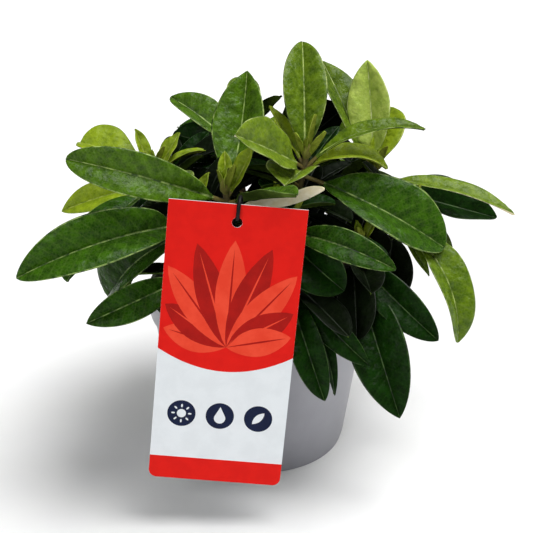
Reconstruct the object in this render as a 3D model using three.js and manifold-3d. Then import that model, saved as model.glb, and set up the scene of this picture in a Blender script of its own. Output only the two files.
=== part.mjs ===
// A young rhododendron in a round nursery pot, with a plain hanging label looped on one shoot.
// Millimetres, +Z up. The origin is the middle of the pot's flat underside, and -Y is the front.
import * as THREE from "three";
import { mergeVertices } from "three/addons/utils/BufferGeometryUtils.js";
import Module from "manifold-3d";

const wasm = await Module();
wasm.setup();

// Gap kept between neighbouring solids
const CLEARANCE = 0.3;

// Pot and soil
const POT_HEIGHT = 90;
const POT_BASE_RADIUS = 45.8;
const POT_RIM_RADIUS = 60;
const POT_SHOULDER_RADIUS = 57.2;
const POT_RIM_DEPTH = 13;
const POT_WALL = 1.8;
const POT_BASE_ROUNDING = 2.5;
const RIM_STEP = 1;
const RIM_DRAFT = 0.8;
const RIM_ROUNDING = 0.9;
const RIM_ROUNDING_HEIGHT = 2;
const RIM_LIP = 0.4;
const POT_SIDES = 40;
const DRAIN_COUNT = 6;
const DRAIN_RADIUS = 4.5;
const DRAIN_CIRCLE = 33;
const DRAIN_SIDES = 12;
const SOIL_TOP = 80;
const SOIL_MOUND = 2;
const SOIL_FLAT_RADIUS = 11;
const SOIL_SLOPE_RADIUS = 0.6 * POT_BASE_RADIUS;
const SOIL_FOOT_GAP = 0.4;
const SOIL_EDGE_GAP = 0.2;
const SOIL_EDGE_DROP = 0.5;

// Trunk, boughs and twigs
const TRUNK_HEIGHT = 38;
const TRUNK_LEAN = [1.5, -1, 0];
const TRUNK_RADII = [8.2, 6.1, 5.3, 4.8, 4.2];
const BOUGH_RADII = [2.1, 2, 1.9];
const TWIG_RADII = [1.9, 1.8, 1.7, 2.3, 0.5];
const BOUGH_SHARE = 0.7;
const BOUGH_REACH_OUT = 0.75;
const BOUGH_RISE = 0.2;
const BUD_LENGTH = 9;

// Sides and rings of each limb
const TRUNK_FACETS = [12, 6];
const BOUGH_FACETS = [6, 5];
const TWIG_FACETS = [6, 4];

// Leaves
const STALK_SHARE = 0.13;
const STALK_BLEND = 0.02;
const STALK_HALF_WIDTH = 1.1;
const LEAF_THICKNESS = 1.3;
const LEAF_SIDES = 8;
const LEAF_STATIONS = [0, 0.14, 0.33, 0.56, 0.78, 0.93, 1];
const LEAF_KEEL = 0.62;
const LEAF_CURL = 0.16;
const TURN = 137.5;

// Leaves of these pitches spring from the foot and the head of the leafy stretch of their shoot
const FOOT_PITCHES = [-60, 90];
const FOOT_SHARES = [BOUGH_SHARE + 0.14, 0.99];

// Each leaf form: how slowly its blade widens from the base, and how slowly it narrows to the tip
const LEAF_FORMS = { oval: [0.85, 0.6], blade: [0.8, 0.75], lance: [0.95, 0.85], spoon: [1.3, 0.48] };

// A leaf keeps clear of its own bough from the first of these shares of its length,
// and of the other leaves on its twig from the second
const BLADE_START = 0.3;
const BLADE_FREE = 0.5;

// Free leaves, which fill each shoot by rule: the steepest stand nearest its tip.
// One that is blocked is tried again turned and tilted by each of the shifts.
const FREE_LOWEST = -38;
const FREE_REACH = [56, 84];
const FREE_DROOP = [8, 52];
const FREE_WIDTH_SHARE = 0.32;
const FREE_WOBBLE = 12;
const FREE_SHIFTS = [[0, 0], [0, -14], [0, 14], [24, -6], [-24, -6], [24, 18], [-24, 18]];
const CROWN_CENTRE = [4, 6, 116];
const CROWN_RADII = [120, 112, 102];
const SEED = 10;

// Label
const LABEL_WIDTH = 66;
const LABEL_LENGTH = 146;
const LABEL_THICKNESS = 0.6;
const LABEL_CORNER = 4;
const LABEL_TOP = [-9.5, -72, 171];
const LABEL_LEAN = 7.1;
const LABEL_SWING = 5.3;
const LABEL_HOLE_RADIUS = 2.5;
const LABEL_HOLE_DROP = 9;
const LOOP_RADIUS = 0.8;
const LOOP_SIDES = 6;
const LOOP_STEPS = 44;
const LOOP_SHARE = 0.6;

// Each shoot: where it ends, the height of its fork on the trunk, its first free leaf's bearing and pitch,
// how many free leaves to try, the numbers of those it has lost, and its posed leaves.
// A leaf is [bearing, pitch, reach, width, droop, roll, form]: bearing is 0 to the front and 90 to the
// right, pitch is of the line from foot to tip, reach is along that line, droop is how far the blade
// bends over its length and roll turns it about that line.
const SHOOTS = [
  {
    name: "top", tip: [23.5, -10, 168], fork: 117, phase: -60, steepest: 0, tries: 5, lost: [0, 1, 4],
    leaves: [
      [-179, 48, 68, 23, 32, 3, "blade"],
      [95, 18, 65, 13, 69, 8, "lance"],
      [82, -26, 82, 36, 27, 30, "oval"],
      [-42, 33, 61, 28, 8, -46, "blade"],
      [-142, 40, 38, 11, 1, 13, "lance"],
      [90, 80, 26, 7, -6, 2, "lance"],
      [-15, 12, 40, 26, 10, 0, "oval"],
      [91, 2, 43, 19, 84, 2, "lance"],
    ],
  },
  {
    name: "right", tip: [61.5, 20, 149], fork: 110, phase: 60, steepest: 5, tries: 6, lost: [0, 5],
    leaves: [
      [-150, 43, 71, 25, 9, 15, "blade"],
      [-174, 61, 61, 24, -18, -26, "lance"],
      [164, 34, 46, 26, 12, 0, "oval"],
      [79, -9, 79, 16, 36, 3, "lance"],
      [97, -19, 76, 27, -1, 27, "lance"],
      [70, -17, 42, 7, 20, 10, "lance"],
    ],
  },
  {
    name: "upper_left", tip: [-16.5, -42, 163], fork: 114, phase: 60, steepest: 0, tries: 4,
    leaves: [
      [169, 44, 71, 27, -33, -6, "lance"],
      [-76, 22, 84, 21.5, 74, -65, "oval"],
      [113, 61, 29, 11, -21, 13, "lance"],
      [71, 85, 15, 8, 16, 35, "lance"],
      [78, 15, 50, 22, -45, -30, "blade"],
    ],
  },
  {
    name: "lower_left", tip: [-33, -43, 152], fork: 107, phase: 10, steepest: 20, tries: 6, lost: [2],
    leaves: [
      [-64, -5, 94, 27, 73, -42, "blade"],
      [-108, -44, 69, 34, 69, -44, "oval"],
      [-124, -40, 72, 9, 10, -20, "lance"],
      [-118, 2, 34, 16, 12, 0, "blade"],
    ],
  },
  {
    name: "front_left", tip: [-34.5, -47, 124], fork: 101, phase: 50, steepest: 20, tries: 6,
    leaves: [
      [-66, -15, 60, 18, 46, -60, "lance"],
    ],
  },
  {
    name: "front_upper", tip: [13.5, -42, 146], fork: 109, phase: 90, steepest: 0, tries: 5,
    leaves: [
      [61, -5, 61, 16, 79, 44, "blade"],
      [51, -27, 42, 25, 60, 56, "blade"],
    ],
  },
  {
    name: "front", tip: [13.5, -47, 123], fork: 101.5, phase: 30, steepest: 0, tries: 6,
    leaves: [
      [28, -50, 66, 17, 82, 27, "lance"],
      [53, -33, 62, 15, 60, 56, "lance"],
      [40, -53, 65, 9, 71, 8, "lance"],
    ],
  },
  {
    name: "lower_right", tip: [51.5, -24, 124], fork: 101, phase: 0, steepest: 10, tries: 6,
    leaves: [
      [46, -26, 64, 20, 61, 52, "blade"],
      [21, -44, 88, 29, 43, 26, "lance"],
      [1, -32, 50, 20, 36, 0, "oval"],
    ],
  },
  {
    name: "side_right", tip: [77.5, 0, 132], fork: 104.5, phase: 120, steepest: 20, tries: 6,
    leaves: [
      [38, -44, 70, 23.5, 94, -4, "blade"],
      [31, -30, 35, 6, 15, 7, "lance"],
      [-12, -50, 44, 27, 20, 0, "oval"],
    ],
  },
  {
    name: "left", tip: [-56.5, 10, 152], fork: 109, phase: 100, steepest: 20, tries: 7,
    leaves: [
      [-108, 21, 46, 28, 35, -11, "spoon"],
      [-82, -13, 53, 16, 44, -42, "lance"],
      [125, 53, 27, 11, 7, 4, "lance"],
      [101, 28, 31, 6, 72, 2, "lance"],
    ],
  },
  {
    name: "back_left", tip: [-13.5, 40, 157.5], fork: 112, phase: 40, steepest: 40, tries: 9, lost: [2, 4],
    leaves: [
      [-122, 27, 48, 22, 30, -11, "blade"],
      [-112, 8, 38, 20, 10, -40, "blade"],
    ],
  },
  {
    name: "back", tip: [12, 54, 142], fork: 108, phase: 70, steepest: 48, tries: 10,
    leaves: [
      [88, 44, 47, 27, 8, 45, "oval"],
    ],
  },
  {
    name: "back_right", tip: [50, 54, 118], fork: 103, phase: 200, steepest: 45, tries: 14, lost: [9, 12],
    leaves: [],
  },
  { name: "low_back_left", tip: [-52, 46, 119], fork: 103, phase: 200, steepest: 45, tries: 14, leaves: [] },
];

const colours = {
  pot: { color: 0xd9dade, roughness: 0.5 },
  soil: { color: 0x33241a, roughness: 0.95 },
  bark: { color: 0x6b5a3c, roughness: 0.85 },
  leaf: { color: 0x4b6a24, roughness: 0.45 },
  card: { color: 0xe2e6e8, roughness: 0.5 },
  loop: { color: 0x141414, roughness: 0.45 },
};
const materials = Object.fromEntries(
  Object.entries(colours).map(([name, look]) => [name, new THREE.MeshStandardMaterial(look)]),
);

const mix = THREE.MathUtils.lerp;
const radians = THREE.MathUtils.degToRad;
const vector = (list) => new THREE.Vector3(...list);

// A repeatable stream of numbers from 0 to 1.
function numberStream(seed) {
  let state = seed >>> 0;
  return () => {
    state = (state + 0x6d2b79f5) >>> 0;
    let mixed = Math.imul(state ^ (state >>> 15), 1 | state);
    mixed = (mixed + Math.imul(mixed ^ (mixed >>> 7), 61 | mixed)) ^ mixed;
    return ((mixed ^ (mixed >>> 14)) >>> 0) / 4294967296;
  };
}

// A closed geometry as a solid that can be joined and cut.
function solidOf(geometry) {
  const bare = geometry.clone();
  bare.deleteAttribute("normal");
  bare.deleteAttribute("uv");
  const merged = mergeVertices(bare, 1e-4);
  return new wasm.Manifold(
    new wasm.Mesh({
      numProp: 3,
      vertProperties: new Float32Array(merged.attributes.position.array),
      triVerts: new Uint32Array(merged.index.array),
    }),
  );
}

// A solid back as a geometry with flat shading.
function geometryOf(solid) {
  const { vertProperties, triVerts } = solid.getMesh();
  const geometry = new THREE.BufferGeometry();
  geometry.setAttribute("position", new THREE.BufferAttribute(vertProperties, 3));
  geometry.setIndex(new THREE.BufferAttribute(triVerts, 1));
  const faceted = geometry.toNonIndexed();
  faceted.computeVertexNormals();
  return faceted;
}

// Moves every vertex of a geometry to where place(x, y, z) says.
function reshape(geometry, place) {
  const points = geometry.attributes.position;
  for (let i = 0; i < points.count; i++) {
    const moved = place(points.getX(i), points.getY(i), points.getZ(i));
    points.setXYZ(i, moved.x, moved.y, moved.z);
  }
  return geometry;
}

// The value at share t of a list of evenly spaced values.
function along(values, t) {
  const at = THREE.MathUtils.clamp(t, 0, 1) * (values.length - 1);
  const low = Math.min(Math.floor(at), values.length - 2);
  return mix(values[low], values[low + 1], at - low);
}

// A round limb along the stretch from start to end of a curve, tapering through the given radii.
function limb(curve, start, end, radii, sides, rings) {
  const facing = new THREE.Vector3(0, 1, 0);
  return reshape(new THREE.CylinderGeometry(1, 1, 1, sides, rings), (x, y, z) => {
    const share = y + 0.5;
    const t = mix(start, end, share);
    const tangent = curve.getTangent(t);
    const across = new THREE.Vector3().crossVectors(facing, tangent).normalize();
    const other = new THREE.Vector3().crossVectors(tangent, across);
    const radius = along(radii, share);
    return curve.getPoint(t).addScaledVector(other, x * radius).addScaledVector(across, z * radius);
  });
}

// The pot's outer radius at a height below its rim band.
const bandFoot = POT_HEIGHT - POT_RIM_DEPTH;
const wallAt = (z) => mix(POT_BASE_RADIUS, POT_SHOULDER_RADIUS, z / bandFoot);

// The pot: a turned wall with a rolled rim band, a flat base and drain holes through it.
function makePot() {
  const innerRim = POT_RIM_RADIUS - POT_WALL;
  const profile = [
    [0, 0],
    [POT_BASE_RADIUS - POT_BASE_ROUNDING, 0],
    [POT_BASE_RADIUS, POT_BASE_ROUNDING],
    [wallAt(bandFoot), bandFoot],
    [POT_RIM_RADIUS - RIM_DRAFT, bandFoot + RIM_STEP],
    [POT_RIM_RADIUS, POT_HEIGHT - RIM_ROUNDING_HEIGHT],
    [POT_RIM_RADIUS - RIM_ROUNDING, POT_HEIGHT],
    [innerRim - RIM_LIP, POT_HEIGHT],
    [innerRim - RIM_ROUNDING, bandFoot + RIM_STEP],
    [wallAt(bandFoot) - POT_WALL, bandFoot],
    [POT_BASE_RADIUS - POT_WALL, POT_WALL + POT_BASE_ROUNDING],
    [POT_BASE_RADIUS - POT_WALL - POT_BASE_ROUNDING, POT_WALL],
    [0, POT_WALL],
  ].map(([r, z]) => new THREE.Vector2(r, z));
  let pot = solidOf(new THREE.LatheGeometry(profile, POT_SIDES).rotateX(Math.PI / 2));
  for (let i = 0; i < DRAIN_COUNT; i++) {
    const angle = (i / DRAIN_COUNT) * 2 * Math.PI;
    const drain = new THREE.CylinderGeometry(DRAIN_RADIUS, DRAIN_RADIUS, 4 * POT_WALL, DRAIN_SIDES);
    drain.rotateX(Math.PI / 2);
    drain.translate(DRAIN_CIRCLE * Math.cos(angle), DRAIN_CIRCLE * Math.sin(angle), 0);
    pot = pot.subtract(solidOf(drain));
  }
  return pot;
}

// The soil: a plug that fills the pot to just under its rim band and rises to a flat spot round the trunk.
function makeSoil() {
  const inside = POT_WALL + CLEARANCE;
  const edgeAt = (z) => wallAt(z) - inside;
  const profile = [
    [0, inside],
    [POT_BASE_RADIUS - inside - POT_BASE_ROUNDING, inside],
    [edgeAt(POT_BASE_ROUNDING + inside) - SOIL_FOOT_GAP, POT_BASE_ROUNDING + inside],
    [edgeAt(bandFoot) - SOIL_EDGE_GAP, bandFoot - SOIL_EDGE_DROP],
    [SOIL_SLOPE_RADIUS, SOIL_TOP - SOIL_MOUND],
    [SOIL_FLAT_RADIUS, SOIL_TOP],
    [0, SOIL_TOP],
  ].map(([r, z]) => new THREE.Vector2(r, z));
  return solidOf(new THREE.LatheGeometry(profile, POT_SIDES).rotateX(Math.PI / 2));
}

// The trunk: short, leaning a little, flared at its flat foot.
const trunkFoot = SOIL_TOP + CLEARANCE;
const trunkCurve = new THREE.QuadraticBezierCurve3(
  new THREE.Vector3(0, 0, trunkFoot),
  new THREE.Vector3(0, 0, trunkFoot + TRUNK_HEIGHT / 2),
  vector(TRUNK_LEAN).setZ(trunkFoot + TRUNK_HEIGHT),
);
const trunk = solidOf(limb(trunkCurve, 0, 1, TRUNK_RADII, ...TRUNK_FACETS));
const cutRadii = TRUNK_RADII.map((radius) => radius + CLEARANCE);
const trunkCut = solidOf(limb(trunkCurve, 0, 1, cutRadii, ...TRUNK_FACETS));

// The line of a shoot, from the trunk's middle out and then up to its tip.
function shootCurve({ tip, fork }) {
  const share = THREE.MathUtils.clamp((fork - trunkFoot) / TRUNK_HEIGHT, 0, 1);
  const start = trunkCurve.getPoint(share);
  const end = vector(tip);
  const bend = new THREE.Vector3(
    mix(start.x, end.x, BOUGH_REACH_OUT),
    mix(start.y, end.y, BOUGH_REACH_OUT),
    mix(start.z, end.z, BOUGH_RISE),
  );
  return new THREE.QuadraticBezierCurve3(start, bend, end);
}

function makeBough(curve) {
  return solidOf(limb(curve, 0, BOUGH_SHARE, BOUGH_RADII, ...BOUGH_FACETS)).subtract(trunkCut);
}

// The twig runs on from its bough, past the leaves, to a pointed bud.
function makeTwig(curve) {
  const start = BOUGH_SHARE + CLEARANCE / curve.getLength();
  const end = curve.getPoint(1);
  const bud = end.clone().addScaledVector(curve.getTangent(1), BUD_LENGTH);
  const from = curve.getPoint(start);
  const middle = end.clone().addScaledVector(curve.getTangent(1), -0.5 * from.distanceTo(end));
  const line = new THREE.QuadraticBezierCurve3(from, middle, bud);
  return solidOf(limb(line, 0, 1, TWIG_RADII, ...TWIG_FACETS));
}

// A leaf's own directions: d along its chord, n out of its upper face and side across it.
function leafAxes([bearing, pitch, , , , roll]) {
  const b = radians(bearing);
  const p = radians(pitch);
  const r = radians(roll);
  const d = new THREE.Vector3(Math.cos(p) * Math.sin(b), -Math.cos(p) * Math.cos(b), Math.sin(p));
  const up = new THREE.Vector3(-Math.sin(p) * Math.sin(b), Math.sin(p) * Math.cos(b), Math.cos(p));
  const flat = new THREE.Vector3().crossVectors(d, up);
  const n = up.clone().multiplyScalar(Math.cos(r)).addScaledVector(flat, Math.sin(r));
  return { d, n, side: new THREE.Vector3().crossVectors(d, n) };
}

// Half the leaf's width at share t of its length: a stalk, then a blade of the given form.
function halfWidth(t, width, form) {
  const [base, tip] = LEAF_FORMS[form];
  const widest = base / (base + tip);
  const blade = Math.max(0, (t - STALK_SHARE) / (1 - STALK_SHARE));
  const swell = (blade / widest) ** base * ((1 - blade) / (1 - widest)) ** tip;
  return Math.max(t < 1 ? STALK_HALF_WIDTH : 0, (width / 2) * swell);
}

// A leaf as a closed lens that bends evenly from foot to tip, keeled along its midrib, its margins curling
// down. It runs from share `from` of its length to the tip, grown by `grow` on every side.
function makeLeaf(foot, leaf, from = 0, grow = 0) {
  const [, , reach, width, droop, , form] = leaf;
  const { d, n, side } = leafAxes(leaf);
  const bend = radians(droop) || 1e-6;
  const radius = reach / (2 * Math.sin(bend / 2));
  const lens = new THREE.SphereGeometry(1, LEAF_SIDES, LEAF_STATIONS.length - 1);
  return solidOf(
    reshape(lens, (x, y, z) => {
      const polar = Math.acos(THREE.MathUtils.clamp(y, -1, 1)) / Math.PI;
      const t = mix(from, 1, LEAF_STATIONS[Math.round(polar * (LEAF_STATIONS.length - 1))]);
      const ring = Math.hypot(x, z);
      const across = ring > 1e-6 ? x / ring : 0;
      const upward = ring > 1e-6 ? -z / ring : 0;
      const half = halfWidth(t, width, form) + grow;
      const angle = bend / 2 - bend * t;
      const rib = foot
        .clone()
        .addScaledVector(d, radius * (Math.sin(bend / 2) - Math.sin(angle)))
        .addScaledVector(n, radius * (Math.cos(angle) - Math.cos(bend / 2)));
      const normal = n.clone().multiplyScalar(Math.cos(angle)).addScaledVector(d, -Math.sin(angle));
      const thick = Math.max(LEAF_THICKNESS, reach / 100) / 2 + grow;
      const camber = half * (LEAF_KEEL * Math.abs(across) - LEAF_CURL * across ** 4);
      const stalk = t < STALK_SHARE + STALK_BLEND;
      const lift = stalk ? upward * (STALK_HALF_WIDTH + grow) : camber + upward * thick;
      return rib.addScaledVector(side, across * half).addScaledVector(normal, ring > 1e-6 ? lift : 0);
    }),
  );
}

// Where a leaf springs from its twig: the steeper it stands, the nearer the tip.
function leafFoot(curve, pitch) {
  const share = THREE.MathUtils.clamp(THREE.MathUtils.inverseLerp(...FOOT_PITCHES, pitch), 0, 1);
  return curve.getPoint(mix(...FOOT_SHARES, share));
}

// The free leaves of a shoot, in a spiral from its tip down.
function freeLeaves({ phase, steepest, tries, lost = [] }, random) {
  return Array.from({ length: tries }, (_, k) => {
    const share = tries > 1 ? k / (tries - 1) : 0;
    const wobble = () => (2 * random() - 1) * FREE_WOBBLE;
    const reach = mix(...FREE_REACH, share) + wobble() / 2;
    return [
      phase + k * TURN + wobble(),
      mix(steepest, FREE_LOWEST, share) + wobble(),
      reach,
      reach * FREE_WIDTH_SHARE,
      mix(...FREE_DROOP, share),
      wobble(),
      "oval",
    ];
  }).filter((_, k) => !lost.includes(k));
}

function insideCrown(point) {
  const scaled = point.clone().sub(vector(CROWN_CENTRE)).divide(vector(CROWN_RADII));
  return scaled.length() < 1;
}

// The label's frame: x across it, y up it and z out of its face.
function labelFrame() {
  const frame = new THREE.Group();
  frame.position.set(...LABEL_TOP);
  frame.rotation.set(Math.PI / 2 - radians(LABEL_LEAN), radians(LABEL_SWING), 0, "YXZ");
  frame.updateMatrix();
  return frame.matrix;
}

// The label: a thin card with rounded lower corners and a round hole under its top edge.
function makeLabel() {
  const half = LABEL_WIDTH / 2;
  const outline = new THREE.Shape();
  outline.moveTo(-half, 0);
  outline.lineTo(-half, LABEL_CORNER - LABEL_LENGTH);
  outline.absarc(LABEL_CORNER - half, LABEL_CORNER - LABEL_LENGTH, LABEL_CORNER, Math.PI, 1.5 * Math.PI);
  outline.absarc(half - LABEL_CORNER, LABEL_CORNER - LABEL_LENGTH, LABEL_CORNER, 1.5 * Math.PI, 2 * Math.PI);
  outline.lineTo(half, 0);
  const hole = new THREE.Path();
  hole.absarc(0, -LABEL_HOLE_DROP, LABEL_HOLE_RADIUS, 0, 2 * Math.PI, true);
  outline.holes.push(hole);
  const card = new THREE.ExtrudeGeometry(outline, {
    depth: LABEL_THICKNESS,
    bevelEnabled: false,
    curveSegments: 6,
  });
  return solidOf(card.applyMatrix4(labelFrame()));
}

// The loop: a closed strap through the label's hole, over its top edge and round the shoot behind it.
function makeLoop(curve) {
  const frame = labelFrame();
  const onLabel = (x, y, z) => new THREE.Vector3(x, y, z).applyMatrix4(frame);
  const strap = LOOP_RADIUS + CLEARANCE;
  const holeTop = LABEL_HOLE_RADIUS - LABEL_HOLE_DROP - strap - 0.25;
  const stem = curve.getPoint(LOOP_SHARE);
  const tangent = curve.getTangent(LOOP_SHARE);
  const right = new THREE.Vector3(1, 0, 0).addScaledVector(tangent, -tangent.x).normalize();
  const behind = new THREE.Vector3().crossVectors(tangent, right);
  const around = BOUGH_RADII[2] + strap + 0.2;
  const besideStem = (angle, forward, rise) =>
    stem
      .clone()
      .addScaledVector(right, around * Math.cos(radians(angle)))
      .addScaledVector(behind, around * Math.sin(radians(angle)))
      .add(new THREE.Vector3(0, -forward, rise));
  const line = new THREE.CatmullRomCurve3(
    [
      onLabel(0, holeTop, LABEL_THICKNESS / 2),
      onLabel(0, holeTop + 2.4, LABEL_THICKNESS + strap + 0.9),
      onLabel(0, -1, LABEL_THICKNESS + strap + 0.6),
      onLabel(0.5, 3, -2),
      besideStem(0, 16, 14),
      besideStem(0, 0, 0),
      besideStem(45, 0, 0),
      besideStem(90, 0, 0),
      besideStem(135, 0, 0),
      besideStem(180, 0, 0),
      besideStem(180, 16, 8),
      onLabel(-0.5, holeTop + 0.4, -6),
    ],
    true,
  );
  const frames = line.computeFrenetFrames(LOOP_STEPS, true);
  const tube = 0.5;
  const ring = new THREE.TorusGeometry(1, tube, LOOP_SIDES, LOOP_STEPS);
  return solidOf(
    reshape(ring, (x, y, z) => {
      const turn = (Math.atan2(y, x) / (2 * Math.PI) + 1) % 1;
      const step = Math.round(turn * LOOP_STEPS) % LOOP_STEPS;
      const outward = (Math.hypot(x, y) - 1) / tube;
      const upward = z / tube;
      return line
        .getPointAt(step / LOOP_STEPS)
        .addScaledVector(frames.normals[step], outward * LOOP_RADIUS)
        .addScaledVector(frames.binormals[step], -upward * LOOP_RADIUS);
    }),
  );
}

// Grows the foliage: posed leaves first, then free ones, each skipped where it would touch what is there.
function growFoliage(shoots, fixed) {
  const random = numberStream(SEED);
  const touches = (probe, solid) => probe.intersect(solid).volume() > 0;
  const tryLeaf = (shoot, leaf) => {
    const foot = leafFoot(shoot.curve, leaf[1]);
    const probe = makeLeaf(foot, leaf, 0, CLEARANCE);
    const blade = makeLeaf(foot, leaf, BLADE_START, CLEARANCE);
    const strangers = shoots.filter((other) => other !== shoot).flatMap((other) => other.grown);
    const own = shoot.grown.slice(1);
    const outer = makeLeaf(foot, leaf, BLADE_FREE, CLEARANCE);
    const blocked =
      touches(blade, shoot.bough) ||
      fixed.some((solid) => solid !== shoot.bough && touches(probe, solid)) ||
      strangers.some((solid) => touches(probe, solid)) ||
      own.some((solid) => touches(outer, solid));
    if (!blocked) shoot.grown.push(makeLeaf(foot, leaf));
    return !blocked;
  };
  for (const shoot of shoots) {
    shoot.grown = [makeTwig(shoot.curve)];
  }
  for (const shoot of shoots) {
    shoot.leaves.forEach((leaf) => tryLeaf(shoot, leaf));
  }
  for (const shoot of shoots) {
    for (const leaf of freeLeaves(shoot, random)) {
      FREE_SHIFTS.some(([turn, tilt]) => {
        const [bearing, pitch, ...rest] = leaf;
        const shifted = [bearing + turn, pitch + tilt, ...rest];
        const tip = leafFoot(shoot.curve, shifted[1]).addScaledVector(leafAxes(shifted).d, shifted[2]);
        return insideCrown(tip) && tryLeaf(shoot, shifted);
      });
    }
  }
  for (const shoot of shoots) {
    shoot.foliage = shoot.grown.reduce((joined, leaf) => joined.add(leaf));
  }
}

const plant = new THREE.Group();

function place(name, solid, material) {
  const mesh = new THREE.Mesh(geometryOf(solid), material);
  mesh.name = name;
  plant.add(mesh);
}

const pot = makePot();
const soil = makeSoil();
const shoots = SHOOTS.map((shoot) => {
  const curve = shootCurve(shoot);
  return { ...shoot, curve, bough: makeBough(curve) };
});
const label = makeLabel();
const loop = makeLoop(shoots.find((shoot) => shoot.name === "upper_left").curve);
growFoliage(shoots, [pot, soil, trunk, label, loop, ...shoots.map((shoot) => shoot.bough)]);

place("pot", pot, materials.pot);
place("soil", soil, materials.soil);
place("trunk", trunk, materials.bark);
shoots.forEach((shoot) => {
  place("bough_" + shoot.name, shoot.bough, materials.bark);
  place("foliage_" + shoot.name, shoot.foliage, materials.leaf);
});
place("label_card", label, materials.card);
place("label_loop", loop, materials.loop);

export default plant;
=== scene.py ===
"""The looks of a young potted rhododendron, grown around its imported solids.

Sizes are millimetres, turned to Blender's metres as each piece is made. +Z is up and -Y is the front.
"""
import math
from collections import namedtuple

import bmesh
import bpy
import numpy as np
from mathutils import Matrix, Vector, noise
from mathutils.bvhtree import BVHTree
from mathutils.kdtree import KDTree


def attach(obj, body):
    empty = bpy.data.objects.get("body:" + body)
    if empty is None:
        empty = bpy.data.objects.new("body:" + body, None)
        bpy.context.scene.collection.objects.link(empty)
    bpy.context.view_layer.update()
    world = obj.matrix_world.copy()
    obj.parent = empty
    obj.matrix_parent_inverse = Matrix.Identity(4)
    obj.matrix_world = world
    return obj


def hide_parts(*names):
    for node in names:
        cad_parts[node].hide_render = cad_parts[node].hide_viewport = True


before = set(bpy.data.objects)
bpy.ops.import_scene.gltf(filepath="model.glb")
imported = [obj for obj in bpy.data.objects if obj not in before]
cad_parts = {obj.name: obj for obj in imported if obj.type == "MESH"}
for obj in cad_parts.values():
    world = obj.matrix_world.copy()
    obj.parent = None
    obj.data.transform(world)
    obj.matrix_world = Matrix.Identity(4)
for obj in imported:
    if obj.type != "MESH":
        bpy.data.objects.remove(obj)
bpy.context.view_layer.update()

MM = 0.001
BODY = "root"

# Corners nearer to each other than this are one
MERGE_GAP = 1e-4

# Pot, its main sizes as in the part's source
POT_HEIGHT = 90
POT_BASE_RADIUS = 45.8
POT_RIM_RADIUS = 60
POT_SHOULDER_RADIUS = 57.2
POT_RIM_DEPTH = 13
POT_WALL = 1.8
POT_FOOT_ROUNDING = 0.6
POT_FOOT_HEIGHT = 4
RIM_STEP = 1
RIM_DRAFT = 0.8
RIM_INNER_DRAFT = 0.9
RIM_LIP = 0.4
LIP_FOOT = 4
LIP_HEIGHT = 3.4
POT_SEGMENTS = 120
POT_EDGE_ROUNDING = 0.55
POT_EDGE_ANGLE = 20
DRAIN_COUNT = 6
DRAIN_RADIUS = 4.5
DRAIN_CIRCLE = 33
DRAIN_SEGMENTS = 32

# Soil: a settled mound, rough except round the trunk, with loose crumbs on it
SOIL_TOP = 80
SOIL_MOUND = 2
SOIL_FLAT_RADIUS = 11
SOIL_SLOPE_RADIUS = 0.6 * POT_BASE_RADIUS
SOIL_EDGE_RADIUS = 54.6
SOIL_EDGE_DROP = 3.5
SOIL_FOOT = 2.2
SOIL_FOOT_GAP = 1
SOIL_RINGS = 30
SOIL_SEGMENTS = 110
SOIL_LUMP = 6
SOIL_ROUGHNESS = 1.1
SOIL_ROUGH_FROM = SOIL_FLAT_RADIUS + 3
CRUMB_COUNT = 420
CRUMB_SIZE = (0.7, 2.2)
CRUMB_BREADTH = (0.5, 1)
CRUMB_FLATNESS = 0.6
CRUMB_LIFT = 0.3
CRUMB_EDGE_GAP = 2
CRUMB_TURN = 6.28

# Trunk, boughs and twigs, along the same lines as in the part's source
CLEARANCE = 0.3
TRUNK_FOOT = SOIL_TOP + CLEARANCE
TRUNK_HEIGHT = 38
TRUNK_LEAN = (1.5, -1)
TRUNK_RADII = (8.2, 6.1, 5.3, 4.8, 4.2)
BOUGH_RADII = (2.3, 2.0, 1.9)
TWIG_RADII = (1.9, 1.8, 1.7, 1.6)
BOUGH_SHARE = 0.7
BOUGH_REACH_OUT = 0.75
BOUGH_RISE = 0.2
BUD_LENGTH = 9
BUD_RADIUS = 2.4
BUD_TIP_RADIUS = 0.15
BUD_FOOT_SHARE = 0.16
BUD_FULLNESS = 0.8
BUD_STEPS = 10
BARK_RIDGE_WIDTH = 2.2
BARK_RIDGE_LENGTH = 7

# Each limb: the stretch of its line that it takes, its sides and rings,
# and how rough its bark is, as a share of its radius
LIMBS = {
    "trunk": ((0, 1), (40, 60), 0.11),
    "bough": ((0.02, BOUGH_SHARE + 0.01), (14, 50), 0.09),
    "twig": ((0, 0.8), (12, 30), 0.06),
    "bud": ((0.76, 1), (14, 16), 0.1),
}

# Noise in meshes: how fast its finer layers fade, how much finer each one is, and how many there are
SOIL_NOISE = (0.8, 2.1, 4)
BARK_NOISE = (0.9, 2.0, 4)

# Leaves, by the same rule as in the part's source
STALK_SHARE = 0.13
STALK_BLEND = 0.02
STALK_HALF_WIDTH = 1.0
LEAF_KEEL = 0.62
LEAF_CURL = 0.16
TURN = 137.5
FOOT_PITCHES = (-60, 90)
FOOT_SHARES = (BOUGH_SHARE + 0.14, 0.99)
FREE_LOWEST = -38
FREE_REACH = (56, 84)
FREE_DROOP = (8, 52)
FREE_WIDTH_SHARE = 0.32
FREE_WOBBLE = 12
FREE_SHIFTS = ((0, 0), (0, -14), (0, 14), (24, -6), (-24, -6), (24, 18), (-24, 18))
CROWN_CENTRE = Vector((4, 6, 116))
CROWN_RADII = Vector((120, 112, 102))
SEED = 10

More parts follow.
